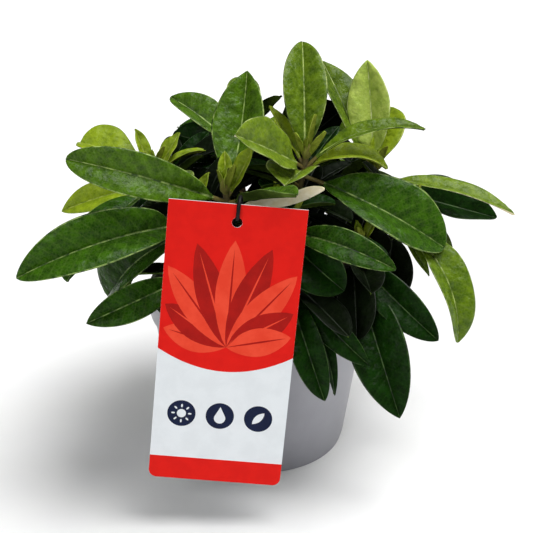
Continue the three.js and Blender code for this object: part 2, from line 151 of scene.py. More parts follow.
# Finer leaf detail than the solids have. A pair runs from stalk to tip, from midrib to margin,
# or from least to most.
LEAF_COLUMNS = 7
LEAF_STATIONS = 44
COLUMN_SHARES = (0, 0.1, 0.22, 0.4, 0.6, 0.8, 0.95, 1)
STATION_CROWDING = 1.25
NEARLY_STRAIGHT = 1e-6
TIP_START = 0.9
TIP_HALF_WIDTH = 0.12
BLADE_BLEND = 0.14
BLADE_HALF_THICKNESS = 0.34
STALK_HALF_THICKNESS = 0.9
RIB_HALF_WIDTH = (0.55, 0.2)
RIB_MOST_SHARE = 0.45
RIB_GROOVE = 0.35
RIB_GROOVE_SPREAD = 1.5
RIB_RIDGE = 0.7
VEIN_SPACING = 5.6
VEIN_SLANT = 0.75
VEIN_QUILT = 0.3
QUILT_RISE = (0.08, 0.3)
QUILT_FALL = (1, 0.8)
KEEL_QUIRK = (0.8, 1.25)
MARGIN_WAVE = (0.2, 0.9)
MARGIN_WAVE_COUNT = (1.5, 3)
MARGIN_WAVE_WIDTH = 26
MARGIN_SIDE_PHASE = 2
TWIST = 9
TIP_TOLERANCE = 0.1

# Each leaf form: how slowly its blade widens from the base, and how slowly it narrows to the tip
LEAF_FORMS = {"oval": (0.85, 0.6), "blade": (0.8, 0.75), "lance": (0.95, 0.85), "spoon": (1.3, 0.48)}

# Young leaves in a rosette round each bud
YOUNG_COUNT = 4
YOUNG_REACH = (11, 21)
YOUNG_REACH_QUIRK = (0.85, 1.15)
YOUNG_PITCH = (84, 58)
YOUNG_PITCH_WOBBLE = 8
YOUNG_TURN = 70
YOUNG_WIDTH_SHARE = 0.34
YOUNG_DROOP = -14

# Older leaves lower on the boughs. Leaves may meet others only nearer their feet than INNER_FREE_FROM.
INNER_TRIES = 40
INNER_SHARES = (0.95, 0.45)
INNER_REACH = (32, 56)
INNER_PITCH = (66, -16)
INNER_PITCH_WOBBLE = 20
INNER_TURN = 33
INNER_TURN_WOBBLE = 30
INNER_WIDTH_SHARE = 0.3
INNER_DROOP = 20
INNER_LIMIT = 0.68
INNER_FREE_FROM = 0.25
INNER_GRID = (2, 10)
LOOKS_SEED = 53

# Free leaves whose tips lie within these shares of the crown's reach take these darker tints, as painted
# shade for the crown's inside
SHADED_LIMITS = {"shade": 0.62, "deep": 0.78}

# Label, as in the part's source
LABEL_WIDTH = 66
LABEL_LENGTH = 146
LABEL_THICKNESS = 0.6
LABEL_CORNER = 4
LABEL_TOP = (-9.5, -72, 171)
LABEL_LEAN = 7.1
LABEL_SWING = 5.3
LABEL_HOLE_RADIUS = 2.5
LABEL_HOLE_DROP = 9

# How far the strap swells before it is smoothed
STRAP_SWELL = 0.3

# The label's print: a red field, a fan of leaf shapes on it, round care signs and a foot band
PRINT_LIFT = 0.03
PRINT_INSET = 0.02
FINE_LINE = 0.9
FIELD_DEPTH = 76
FIELD_SAG = 10
FIELD_STEPS = 24
BAND_TOP = 134
FAN_COUNT = 9
FAN_SPREAD = 76
FAN_LENGTH = 55
FAN_WIDTH = 0.27 * FAN_LENGTH
FAN_FOOT = FIELD_DEPTH - 3
FAN_MARGIN = 2
FAN_STACKING = 0.2
FAN_RIB_SHARE = 0.92
SIGN_RADIUS = 7
SIGN_APART = 19
SIGN_DROP = 110
SUN_RADIUS = 0.32 * SIGN_RADIUS
SUN_RAYS = 8
RAY_START = 0.46 * SIGN_RADIUS
RAY_LENGTH = 0.26 * SIGN_RADIUS
RAY_FULLNESS = 0.4
DROP_TIP = 0.7 * SIGN_RADIUS
DROP_SINK = 0.18 * SIGN_RADIUS
DROP_RADIUS = 0.4 * SIGN_RADIUS
DROP_ARC = (155, 385)
SPRIG_FOOT = (0.4 * SIGN_RADIUS, 0.42 * SIGN_RADIUS)
SPRIG_HEADING = 42
SPRIG_SIZE = (1.2 * SIGN_RADIUS, 0.5 * SIGN_RADIUS)
ARC_STEPS = {"corner": 10, "drop": 20, "ring": 36, "leaf": 14}

# Camera: the photograph's viewing angle in a square frame
FRAME_PIXELS = 533
FOCAL_PIXELS = 1500
CAMERA_TARGET = Vector((3.5, 0, 101.4))
CAMERA_DISTANCE = 800
CAMERA_ELEVATION = 27
SENSOR_WIDTH = 36

# Each light: where it comes from, its strength, and the angle that it fills in degrees
LIGHTS = {
    "overhead_light": ((0.36, 0.08, 1.0), 3.6, 45),
    "front_light": ((-0.45, -1.0, 0.7), 1.0, 30),
}
SKY_STRENGTH = 0.14
FLOOR_HALF_WIDTH = 6000

Leaf = namedtuple("Leaf", "bearing pitch reach width droop roll tint form")
Shoot = namedtuple("Shoot", "tip fork phase steepest tries deal leaves")

# Each shoot as in the part's source: its tip, its fork's height, its first free leaf's bearing and pitch,
# the number of free leaves to try, how it deals out tints to them, and its posed leaves, in Leaf's order.
SHOOTS = {
    "top": Shoot((23.5, -10, 168), 117, -60, 0, 5, "crown", [
        (-179, 48, 68, 23, 32, 3, "mid", "blade"),
        (95, 18, 65, 13, 69, 8, "mid", "lance"),
        (82, -26, 82, 36, 27, 30, "rich", "oval"),
        (-42, 33, 61, 28, 8, -46, "light", "blade"),
        (-142, 40, 38, 11, 1, 13, "young", "lance"),
        (90, 80, 26, 7, -6, 2, "young", "lance"),
        (-15, 12, 40, 26, 10, 0, "light", "oval"),
        (91, 2, 43, 19, 84, 2, "young", "lance"),
    ]),
    "right": Shoot((61.5, 20, 149), 110, 60, 5, 6, "crown", [
        (-150, 43, 71, 25, 9, 15, "mid", "blade"),
        (-174, 61, 61, 24, -18, -26, "pale", "lance"),
        (164, 34, 46, 26, 12, 0, "young", "oval"),
        (79, -9, 79, 16, 36, 3, "light", "lance"),
        (97, -19, 76, 27, -1, 27, "deep", "lance"),
        (70, -17, 42, 7, 20, 10, "young", "lance"),
    ]),
    "upper_left": Shoot((-16.5, -42, 163), 114, 60, 0, 4, "crown", [
        (169, 44, 71, 27, -33, -6, "fresh", "lance"),
        (-76, 22, 84, 21.5, 74, -65, "fresh", "oval"),
        (113, 61, 29, 11, -21, 13, "young", "lance"),
        (71, 85, 15, 8, 16, 35, "young", "lance"),
        (78, 15, 50, 22, -45, -30, "light", "blade"),
    ]),
    "lower_left": Shoot((-33, -43, 152), 107, 10, 20, 6, "skirt", [
        (-64, -5, 94, 27, 73, -42, "rich", "blade"),
        (-108, -44, 69, 34, 69, -44, "dark", "oval"),
        (-124, -40, 72, 9, 10, -20, "light", "lance"),
        (-118, 2, 34, 16, 12, 0, "shade", "blade"),
    ]),
    "front_left": Shoot((-34.5, -47, 124), 101, 50, 20, 6, "skirt", [
        (-66, -15, 60, 18, 46, -60, "dark", "lance"),
    ]),
    "front_upper": Shoot((13.5, -42, 146), 109, 90, 0, 5, "skirt", [
        (61, -5, 61, 16, 79, 44, "dark", "blade"),
        (51, -27, 42, 25, 60, 56, "deep", "blade"),
    ]),
    "front": Shoot((13.5, -47, 123), 101.5, 30, 0, 6, "inner", [
        (28, -50, 66, 17, 82, 27, "deep", "lance"),
        (53, -33, 62, 15, 60, 56, "deep", "lance"),
        (40, -53, 65, 9, 71, 8, "deep", "lance"),
    ]),
    "lower_right": Shoot((51.5, -24, 124), 101, 0, 10, 6, "inner", [
        (46, -26, 64, 20, 61, 52, "deep", "blade"),
        (21, -44, 88, 29, 43, 26, "deep", "lance"),
        (1, -32, 50, 20, 36, 0, "shade", "oval"),
    ]),
    "side_right": Shoot((77.5, 0, 132), 104.5, 120, 20, 6, "skirt", [
        (38, -44, 70, 23.5, 94, -4, "mid", "blade"),
        (31, -30, 35, 6, 15, 7, "mid", "lance"),
        (-12, -50, 44, 27, 20, 0, "shade", "oval"),
    ]),
    "left": Shoot((-56.5, 10, 152), 109, 100, 20, 7, "crown", [
        (-108, 21, 46, 28, 35, -11, "young", "spoon"),
        (-82, -13, 53, 16, 44, -42, "young", "lance"),
        (125, 53, 27, 11, 7, 4, "young", "lance"),
        (101, 28, 31, 6, 72, 2, "young", "lance"),
    ]),
    "back_left": Shoot((-13.5, 40, 157.5), 112, 40, 40, 9, "crown", [
        (-122, 27, 48, 22, 30, -11, "fresh", "blade"),
        (-112, 8, 38, 20, 10, -40, "deep", "blade"),
    ]),
    "back": Shoot((12, 54, 142), 108, 70, 48, 10, "crown", [
        (88, 44, 47, 27, 8, 45, "shade", "oval"),
    ]),
    "back_right": Shoot((50, 54, 118), 103, 200, 45, 14, "crown", []),
    "low_back_left": Shoot((-52, 46, 119), 103, 200, 45, 14, "crown", []),
}
# The skirt deal gives the deep tint and the inner deal mostly the shade tint: painted shade for leaves
# under and inside the crown.
TINT_DEALS = {
    "crown": ("dark", "mid", "fresh", "dark", "mid"),
    "skirt": ("deep", "dark", "deep", "dark"),
    "inner": ("shade", "deep", "shade", "shade"),
}


# Small tools

def mix(a, b, share):
    return a + (b - a) * share


def smooth_step(low, high, value):
    share = np.clip((value - low) / (high - low), 0, 1)
    return share * share * (3 - 2 * share)


def number_stream(seed):
    """A repeatable stream of numbers from 0 to 1, the same one that the part's source draws."""
    word = 0xFFFFFFFF
    state = seed

    def draw():
        nonlocal state
        state = (state + 0x6D2B79F5) & word
        mixed = ((state ^ (state >> 15)) * (1 | state)) & word
        mixed = ((mixed + (mixed ^ (mixed >> 7)) * (61 | mixed)) & word) ^ mixed
        return (mixed ^ (mixed >> 14)) / (word + 1)

    return draw


def along(values, share):
    """The value at a share of a list of evenly spaced values."""
    return float(np.interp(share, np.linspace(0, 1, len(values)), values))


def curve_through(start, bend, end):
    """A smooth curve from start to end, pulled towards bend: gives its point and direction at a share."""
    def at(share):
        point = start * (1 - share) ** 2 + bend * 2 * share * (1 - share) + end * share ** 2
        direction = (bend - start) * (1 - share) + (end - bend) * share
        return point, direction.normalized()

    return at


def finish_piece(piece, slot, *nodes):
    """Lets a piece ride on the part and stand for solids, which it hides. Its slot is not used."""
    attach(piece, BODY)
    if nodes:
        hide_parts(*nodes)


def into_scene(name, data):
    """A new object in the scene that shows this data."""
    thing = bpy.data.objects.new(name, data)
    bpy.context.scene.collection.objects.link(thing)
    return thing


def piece_from(shape, name, materials, smooth=True):
    """A finished bmesh, in millimetres, as a piece in the scene."""
    bmesh.ops.scale(shape, vec=(MM, MM, MM), verts=shape.verts)
    mesh = bpy.data.meshes.new(name)
    for face in shape.faces:
        face.smooth = smooth
    shape.to_mesh(mesh)
    shape.free()
    for material in materials:
        mesh.materials.append(material)
    return into_scene(name, mesh)


# Materials

def linear(hex_colour):
    """An sRGB hex colour as the linear colour that shaders take."""
    parts = [int(hex_colour[i:i + 2], 16) / 255 for i in (1, 3, 5)]
    return [c / 12.92 if c <= 0.04045 else ((c + 0.055) / 1.055) ** 2.4 for c in parts] + [1.0]


def per_metre(size):
    """The texture scale that gives a pattern of that size in millimetres."""
    return 1 / (size * MM)


def new_material(name, **sockets):
    """A material with plain values on its shader's sockets."""
    material = bpy.data.materials.new(name)
    material.use_nodes = True
    tree = material.node_tree
    shader = tree.nodes["Principled BSDF"]
    for socket, value in sockets.items():
        shader.inputs[socket.replace("_", " ")].default_value = value
    return material, tree, shader


def add_node(tree, kind, settings=(), values=(), links=()):
    """Adds a node with its settings, its plain input values and the outputs that feed it."""
    node = tree.nodes.new(kind)
    for name, value in dict(settings).items():
        setattr(node, name, value)
    for socket, value in dict(values).items():
        node.inputs[socket].default_value = value
    for socket, source in dict(links).items():
        tree.links.new(source, node.inputs[socket])
    return node


# Sockets of Blender's Mix node when it mixes colours
MIX_FACTOR, MIX_FIRST, MIX_SECOND, MIX_RESULT = 0, 6, 7, 2


def two_tone(tree, place, first, second, size, low=0.35, high=0.65, detail=4.0):
    """A soft mottle between two colours, its patches about `size` millimetres across."""
    patches = add_node(
        tree, "ShaderNodeTexNoise",
        values={"Scale": per_metre(size), "Detail": detail, "Roughness": 0.6},
        links={"Vector": place},
    )
    share = add_node(
        tree, "ShaderNodeMapRange",
        {"interpolation_type": "SMOOTHSTEP"},
        {"From Min": low, "From Max": high},
        {"Value": patches.outputs["Fac"]},
    )
    return add_node(
        tree, "ShaderNodeMix",
        {"data_type": "RGBA"},
        {MIX_FIRST: linear(first), MIX_SECOND: linear(second)},
        {MIX_FACTOR: share.outputs["Result"]},
    ).outputs[MIX_RESULT]


def laid_over(tree, base, colour, distance, near, far, share):
    """A colour laid over a base: by its full share up to a near distance, and none from a far one on."""
    cover = add_node(
        tree, "ShaderNodeMapRange",
        {"interpolation_type": "SMOOTHSTEP"},
        {"From Min": near, "From Max": far, "To Min": share, "To Max": 0.0},
        {"Value": distance},
    )
    return add_node(
        tree, "ShaderNodeMix",
        {"data_type": "RGBA"},
        {MIX_SECOND: linear(colour)},
        {MIX_FACTOR: cover.outputs["Result"], MIX_FIRST: base},
    ).outputs[MIX_RESULT]


def mottled_material(name, colour, patch, size, **sockets):
    """A material of two colours in soft patches, with plain values on its shader's other sockets."""
    material, tree, shader = new_material(name, **sockets)
    place = add_node(tree, "ShaderNodeTexCoord").outputs["Object"]
    tree.links.new(two_tone(tree, place, colour, patch, size), shader.inputs["Base Color"])
    return material, tree, shader, place


def relief(tree, shader, heights):
    """Bumps the surface by textures in turn, each (height output, depth in millimetres, strength)."""
    normal = None
    for height, depth, strength in heights:
        links = {"Height": height}
        if normal is not None:
            links["Normal"] = normal
        bump = add_node(
            tree, "ShaderNodeBump",
            values={"Strength": strength, "Distance": depth * MM},
            links=links,
        )
        normal = bump.outputs["Normal"]
    tree.links.new(normal, shader.inputs["Normal"])


def grained(tree, shader, place, size, depth, strength, detail=4.0, roughness=0.5):
    """Bumps the surface by noise, its grains about `size` across and `depth` deep in millimetres."""
    grain = add_node(
        tree, "ShaderNodeTexNoise",
        values={"Scale": per_metre(size), "Detail": detail, "Roughness": roughness},
        links={"Vector": place},
    )
    relief(tree, shader, [(grain.outputs["Fac"], depth, strength)])


# Sizes on a leaf's upper face: patches of colour, the net of finest veins, the grain and the swells between
# veins. The net is drawn a little coarser than life, so that it shows.
LEAF_PATCH = 5
LEAF_NET = 1.5
LEAF_GRAIN = 3
LEAF_SWELL = 8

# Where the colour of side veins, of the net and of the pot's specks starts and ends to fade, and its share.
# Side veins take millimetres, and the others shares of their pattern's size.
VEIN_FADE = (0.0, 0.7, 0.06)
NET_FADE = (0.0, 0.25, 0.07)
SPECK_FADE = (0.017, 0.034, 0.8)

# Sizes on the pot's plastic
POT_CLOUD = 30
POT_SPECK_SPACING = 24
POT_GRAIN = 1.2

# How much glossier and duller than its roughness a leaf is in places
GLOSS_QUIRK = (0.08, 0.1)


def leaf_blade(name, colour, patch, vein, roughness, shine):
    """Living evergreen leaf, leathery under a thin wax: a soft gloss, deeper patches and paler veins."""
    material, tree, shader = new_material(name, Specular_IOR_Level=shine)
    places = add_node(tree, "ShaderNodeTexCoord").outputs
    spot = add_node(tree, "ShaderNodeSeparateXYZ", links={"Vector": places["UV"]})
    aside = add_node(tree, "ShaderNodeMath", {"operation": "ABSOLUTE"}, links={0: spot.outputs["Y"]})
    slanted = add_node(
        tree, "ShaderNodeMath",
        {"operation": "MULTIPLY_ADD"},
        {1: -VEIN_SLANT},
        {0: aside.outputs["Value"], 2: spot.outputs["X"]},
    )
    apart = add_node(
        tree, "ShaderNodeMath",
        {"operation": "PINGPONG"},
        {1: VEIN_SPACING / 2},
        {0: slanted.outputs["Value"]},
    )
    net = add_node(
        tree, "ShaderNodeTexVoronoi",
        {"feature": "DISTANCE_TO_EDGE"},
        {"Scale": per_metre(LEAF_NET)},
        {"Vector": places["Object"]},
    )
    coloured = two_tone(tree, places["Object"], colour, patch, LEAF_PATCH, low=0.3, high=0.68, detail=8.0)
    veined = laid_over(tree, coloured, vein, apart.outputs["Value"], *VEIN_FADE)
    netted = laid_over(tree, veined, vein, net.outputs["Distance"], *NET_FADE)
    tree.links.new(netted, shader.inputs["Base Color"])
    grain = add_node(
        tree, "ShaderNodeTexNoise",
        values={"Scale": per_metre(LEAF_GRAIN), "Detail": 5.0},
        links={"Vector": places["Object"]},
    )
    glossiest, dullest = roughness - GLOSS_QUIRK[0], roughness + GLOSS_QUIRK[1]
    gloss = add_node(
        tree, "ShaderNodeMapRange",
        values={"From Min": 0.3, "From Max": 0.7, "To Min": glossiest, "To Max": dullest},
        links={"Value": grain.outputs["Fac"]},
    )
    tree.links.new(gloss.outputs["Result"], shader.inputs["Roughness"])
    swells = add_node(
        tree, "ShaderNodeTexNoise",
        values={"Scale": per_metre(LEAF_SWELL), "Detail": 2.0},
        links={"Vector": places["Object"]},
    )
    relief(tree, shader, [
        (swells.outputs["Fac"], 3.0, 0.7),
        (grain.outputs["Fac"], 1.1, 0.6),
        (net.outputs["Distance"], 0.3, 0.35),
    ])
    return material


def leaf_felt(name, colour, patch):
    """The felted underside of a leaf: dull matted wool, drawn coarser than life so that it shows."""
    finish = {"Roughness": 0.95, "Specular_IOR_Level": 0.1}
    material, *surface = mottled_material(name, colour, patch, size=5, **finish)
    grained(*surface, size=0.8, depth=0.4, strength=0.5, detail=6.0, roughness=0.7)
    return material


def leaf_rib(name, colour, patch):
    """Midrib, stalk and margin: firm pale tissue with a faint gloss."""
    return mottled_material(name, colour, patch, size=4, Roughness=0.5, IOR=1.42)[0]


def bark(name, colour, patch, ridge_size):
    """Thin young bark: dull brown, finely cracked along the limb."""
    material, tree, shader, place = mottled_material(name, colour, patch, size=3, Roughness=0.85)
    stretched = add_node(
        tree, "ShaderNodeMapping",
        values={"Scale": (1.0, 1.0, 0.3)},
        links={"Vector": place},
    ).outputs["Vector"]
    grained(tree, shader, stretched, ridge_size, depth=0.6, strength=0.7, detail=6.0, roughness=0.7)
    return material


def moulded_polypropylene():
    """Moulded polypropylene: pale satin grey, faintly cloudy, with a few specks of soil."""
    material, tree, shader = new_material("moulded_polypropylene", IOR=1.49, Roughness=0.42)
    place = add_node(tree, "ShaderNodeTexCoord").outputs["Object"]
    cloudy = two_tone(tree, place, "#9d9da4", "#98989f", POT_CLOUD)
    specks = add_node(
        tree, "ShaderNodeTexVoronoi",
        {"feature": "F1"},
        {"Scale": per_metre(POT_SPECK_SPACING), "Randomness": 1.0},
        {"Vector": place},
    )
    soiled = laid_over(tree, cloudy, "#5a534c", specks.outputs["Distance"], *SPECK_FADE)
    tree.links.new(soiled, shader.inputs["Base Color"])
    grained(tree, shader, place, POT_GRAIN, depth=0.1, strength=0.3, detail=3.0)
    return material


def moist_peat():
    """Moist peat compost: nearly black brown crumbs, dull with a damp glint."""
    material, *surface = mottled_material("moist_peat", "#2a1d14", "#46311f", size=4, Roughness=0.9)
    grained(*surface, size=1.5, depth=1.2, strength=0.9, detail=8.0, roughness=0.75)
    return material


def coated_card(name, colour, patch):
    """Coated label card and its ink: smooth and satin. Its fibres are drawn coarser than life to show."""
    finish = {"Roughness": 0.45, "Specular_IOR_Level": 0.12}
    material, *surface = mottled_material(name, colour, patch, size=9, **finish)
    grained(*surface, size=0.9, depth=0.05, strength=0.25)
    return material


def extruded_strap():
    """Extruded black polypropylene strap: nearly black, with a dull satin gloss."""
    finish = {"Roughness": 0.5, "Specular_IOR_Level": 0.2}
    return mottled_material("extruded_strap", "#060607", "#0c0c0e", size=2, **finish)[0]


def backdrop_paper():
    """Matt white backdrop paper."""
    return mottled_material("backdrop_paper", "#f4f4f4", "#f6f6f5", size=60, Roughness=0.9)[0]


# Base colour, deeper patches, veins, roughness and share of shine of each leaf tint. The pale tint holds
# painted light, and the deep and shade tints hold painted shade.
TINTS = {
    # pale: a paler young green, brightened further as painted light and sheen
    "pale": ("#b0c455", "#8fa83c", "#d0d898", 0.38, 0.16),
    "young": ("#889e16", "#6a8010", "#b8c456", 0.4, 0.15),
    "light": ("#728a18", "#4e680e", "#b2c270", 0.3, 0.15),
    "mid": ("#5e780e", "#3b5507", "#a8b866", 0.27, 0.13),
    "fresh": ("#486c07", "#2a4704", "#9ab25e", 0.27, 0.12),
    "rich": ("#345c06", "#1a3a03", "#8ba456", 0.28, 0.085),
    "dark": ("#254b05", "#122d02", "#78924a", 0.28, 0.06),
    # deep: a darker green, partly painted shade for leaves under the crown
    "deep": ("#0f2d06", "#071a03", "#3a581e", 0.36, 0.05),
    # shade: nearly black, painted shade for leaves inside the crown
    "shade": ("#0b1505", "#070d04", "#18260c", 0.55, 0.05),
}
leaf_materials = [leaf_blade("leaf_" + name, *look) for name, look in TINTS.items()]
leaf_materials += [leaf_rib("leaf_rib_" + name, look[2], look[1]) for name, look in TINTS.items()]
tint_slot = {name: index for index, name in enumerate(TINTS)}
STALK_SLOT = len(leaf_materials)
FELT_SLOTS = {"young": STALK_SLOT + 1, "pale": STALK_SLOT + 1, "light": STALK_SLOT + 2}
DARK_FELT_SLOT = STALK_SLOT + 3
leaf_materials += [
    leaf_rib("leaf_stalk", "#80753c", "#6a5c30"),
    leaf_felt("leaf_felt_young", "#8f9a35", "#747f28"),
    leaf_felt("leaf_felt_pale", "#f4ecd2", "#e6dab4"),
    leaf_felt("leaf_felt_dark", "#4a5f1e", "#384a15"),
]
trunk_bark = bark("trunk_bark", "#5e4a33", "#42321f", ridge_size=2.2)
twig_bark = bark("twig_bark", "#6b6236", "#574a2b", ridge_size=1.4)
bud_skin = bark("bud_skin", "#7d7f30", "#6a6527", ridge_size=1.6)
pot_plastic = moulded_polypropylene()
peat = moist_peat()
card_white = coated_card("coated_card", "#e2e7ea", "#dde2e5")
ink_red = coated_card("ink_red", "#dd1408", "#d51006")
ink_coral = coated_card("ink_coral", "#ea4a30", "#e23e25")
ink_deep_red = coated_card("ink_deep_red", "#ab0f06", "#9c0b04")
ink_navy = coated_card("ink_navy", "#101c3c", "#0d1733")
strap_plastic = extruded_strap()


# Stage: camera, light and floor

def place_camera():
    tilt = math.radians(CAMERA_ELEVATION)
    away = Vector((0, -math.cos(tilt), math.sin(tilt)))
    data = bpy.data.cameras.new("camera")
    data.sensor_width = SENSOR_WIDTH
    data.lens = SENSOR_WIDTH * FOCAL_PIXELS / FRAME_PIXELS
    camera = into_scene("camera", data)
    camera.location = (CAMERA_TARGET + away * CAMERA_DISTANCE) * MM
    camera.rotation_euler = (math.pi / 2 - tilt, 0, 0)
    bpy.context.scene.camera = camera


def place_light(name, source, strength, softness):
    """A wide even studio light."""
    data = bpy.data.lights.new(name, "SUN")
    data.energy = strength
    data.angle = math.radians(softness)
    light = into_scene(name, data)
    light.rotation_euler = (-Vector(source)).to_track_quat("-Z", "Y").to_euler()


def make_floor():
    shape = bmesh.new()
    bmesh.ops.create_grid(shape, x_segments=1, y_segments=1, size=FLOOR_HALF_WIDTH)
    floor = piece_from(shape, "floor", [backdrop_paper()])


def make_stage():
    place_camera()
    for name, look in LIGHTS.items():
        place_light(name, *look)
    world = bpy.data.worlds.new("studio")
    world.use_nodes = True
    background = world.node_tree.nodes["Background"]
    background.inputs["Color"].default_value = linear("#fbfcff")
    background.inputs["Strength"].default_value = SKY_STRENGTH
    bpy.context.scene.world = world
    bpy.context.scene.view_settings.view_transform = "Standard"
    make_floor()


make_stage()


# Pot and soil

def wall_radius(height):
    """The pot's outer radius at a height below its rim band."""
    return mix(POT_BASE_RADIUS, POT_SHOULDER_RADIUS, height / (POT_HEIGHT - POT_RIM_DEPTH))


def spun(profile, segments):
    """A closed body turned about the pot's axis from a profile of (radius, height) points."""
    shape = bmesh.new()
    points = [shape.verts.new((radius, 0, height)) for radius, height in profile]
    edges = [shape.edges.new(pair) for pair in zip(points, points[1:])]
    bmesh.ops.spin(
        shape, geom=points + edges, axis=(0, 0, 1), cent=(0, 0, 0),
        angle=math.tau, steps=segments, use_merge=True,
    )
    bmesh.ops.remove_doubles(shape, verts=shape.verts, dist=MERGE_GAP)
    bmesh.ops.recalc_face_normals(shape, faces=shape.faces)
    return shape


def cut_drains(pot):
    """Cuts the drain holes through the pot's base."""
    shape = bmesh.new()
    for index in range(DRAIN_COUNT):
        angle = math.tau * index / DRAIN_COUNT
        spot = Vector((DRAIN_CIRCLE * math.cos(angle), DRAIN_CIRCLE * math.sin(angle), 0))
        bmesh.ops.create_cone(
            shape, cap_ends=True, segments=DRAIN_SEGMENTS, radius1=DRAIN_RADIUS, radius2=DRAIN_RADIUS,
            depth=4 * POT_WALL, matrix=Matrix.Translation(spot),
        )
    drains = piece_from(shape, "drains", [])
    cut = pot.modifiers.new("drains", "BOOLEAN")
    cut.operation = "DIFFERENCE"
    cut.solver = "EXACT"
    cut.object = drains
    shown = pot.evaluated_get(bpy.context.evaluated_depsgraph_get())
    whole = pot.data
    pot.data = bpy.data.meshes.new_from_object(shown)
    pot.modifiers.remove(cut)
    bpy.data.meshes.remove(whole)
    bpy.data.objects.remove(drains)


def make_pot():
    band_foot = POT_HEIGHT - POT_RIM_DEPTH
    inner_rim = POT_RIM_RADIUS - POT_WALL
    profile = [
        (0, 0),
        (POT_BASE_RADIUS - POT_FOOT_ROUNDING, 0),
        (wall_radius(POT_FOOT_HEIGHT), POT_FOOT_HEIGHT),
        (wall_radius(band_foot), band_foot),
        (POT_RIM_RADIUS - RIM_DRAFT, band_foot + RIM_STEP),
        (POT_RIM_RADIUS - RIM_LIP, POT_HEIGHT - LIP_FOOT),
        (POT_RIM_RADIUS, POT_HEIGHT - LIP_HEIGHT),
        (POT_RIM_RADIUS, POT_HEIGHT),
        (inner_rim - RIM_LIP, POT_HEIGHT),
        (inner_rim - RIM_INNER_DRAFT, band_foot + RIM_STEP),
        (wall_radius(band_foot) - POT_WALL, band_foot),
        (POT_BASE_RADIUS - POT_WALL, POT_WALL),
        (0, POT_WALL),
    ]
    pot = piece_from(spun(profile, POT_SEGMENTS), "pot_shell", [pot_plastic])
    cut_drains(pot)
    rounding = pot.modifiers.new("rounding", "BEVEL")
    rounding.width = POT_EDGE_ROUNDING * MM
    rounding.segments = 3
    rounding.limit_method = "ANGLE"
    rounding.angle_limit = math.radians(POT_EDGE_ANGLE)
    rounding.harden_normals = True
    finish_piece(pot, "pot_plastic", "pot")


def soil_height(radius):
    """The soil's level at a distance from its middle."""
    edges = (0, SOIL_FLAT_RADIUS, SOIL_SLOPE_RADIUS, SOIL_EDGE_RADIUS)
    drops = (0, 0, SOIL_MOUND, SOIL_EDGE_DROP)
    return SOIL_TOP - float(np.interp(radius, edges, drops))


def make_soil(draw):
    profile = [
        (0, SOIL_FOOT),
        (POT_BASE_RADIUS - POT_WALL - SOIL_FOOT_GAP, SOIL_FOOT),
        (SOIL_EDGE_RADIUS, soil_height(SOIL_EDGE_RADIUS)),
    ]
    profile += [(SOIL_EDGE_RADIUS * (1 - k / SOIL_RINGS), SOIL_TOP) for k in range(1, SOIL_RINGS + 1)]
    shape = spun(profile, SOIL_SEGMENTS)
    # The top is spun level, then takes its mound and its lumps
    for vert in shape.verts:
        radius = vert.co.xy.length
        if vert.co.z > SOIL_TOP - SOIL_MOUND:
            rough = noise.fractal(vert.co / SOIL_LUMP, *SOIL_NOISE)
            settled = float(smooth_step(TRUNK_RADII[0], SOIL_ROUGH_FROM, radius))
            vert.co.z = soil_height(radius) + SOIL_ROUGHNESS * rough * settled
    for index in range(CRUMB_COUNT):
        radius = mix(SOIL_FLAT_RADIUS, SOIL_EDGE_RADIUS - CRUMB_EDGE_GAP, math.sqrt(draw()))
        angle = math.tau * draw()
        size = mix(*CRUMB_SIZE, draw() ** 2)
        height = soil_height(radius) + CRUMB_LIFT * size
        spot = Matrix.Translation((radius * math.cos(angle), radius * math.sin(angle), height))
        turned = Matrix.Rotation(CRUMB_TURN * draw(), 4, "Z") @ Matrix.Rotation(CRUMB_TURN * draw(), 4, "X")
        stretched = Matrix.Diagonal((size, size * mix(*CRUMB_BREADTH, draw()), size * CRUMB_FLATNESS, 1))
        bmesh.ops.create_icosphere(shape, subdivisions=1, radius=1, matrix=spot @ turned @ stretched)
    finish_piece(piece_from(shape, "peat_compost", [peat]), "compost", "soil")


# Trunk, boughs, twigs and buds

def add_limb(shape, curve, radii, stretch, facets, roughness, slot=0):
    """Adds a round limb along a stretch of a curve to a bmesh, with ridges of bark along it."""
    before = set(shape.verts)
    faces_before = set(shape.faces)
    bmesh.ops.create_grid(shape, x_segments=facets[0], y_segments=facets[1], size=1)
    made = [vert for vert in shape.verts if vert not in before]
    for vert in made:
        share = (vert.co.y + 1) / 2
        turn = math.pi * vert.co.x
        point, direction = curve(mix(*stretch, share))
        across = Vector((0, 1, 0)).cross(direction).normalized()
        other = direction.cross(across)
        outward = other * math.cos(turn) + across * math.sin(turn)
        radius = along(radii, share)
        bare = point + outward * radius
        spot = Vector((bare.x / BARK_RIDGE_WIDTH, bare.y / BARK_RIDGE_WIDTH, bare.z / BARK_RIDGE_LENGTH))
        vert.co = bare + outward * radius * roughness * noise.fractal(spot, *BARK_NOISE)
    bmesh.ops.remove_doubles(shape, verts=made, dist=MERGE_GAP)
    limb_faces = [face for face in shape.faces if face not in faces_before]
    for face in limb_faces:
        face.material_index = slot
    open_edges = [edge for face in limb_faces for edge in face.edges if edge.is_boundary]
    bmesh.ops.holes_fill(shape, edges=list(set(open_edges)), sides=0)


trunk_curve = curve_through(
    Vector((0, 0, TRUNK_FOOT)),
    Vector((0, 0, TRUNK_FOOT + TRUNK_HEIGHT / 2)),
    Vector((*TRUNK_LEAN, TRUNK_FOOT + TRUNK_HEIGHT)),
)


def shoot_curve(shoot):
    """The line of a shoot, from the trunk's middle out and then up to its tip."""
    share = min(max((shoot.fork - TRUNK_FOOT) / TRUNK_HEIGHT, 0), 1)
    start = trunk_curve(share)[0]
    end = Vector(shoot.tip)
    bend = Vector((
        mix(start.x, end.x, BOUGH_REACH_OUT),
        mix(start.y, end.y, BOUGH_REACH_OUT),
        mix(start.z, end.z, BOUGH_RISE),
    ))
    return curve_through(start, bend, end)


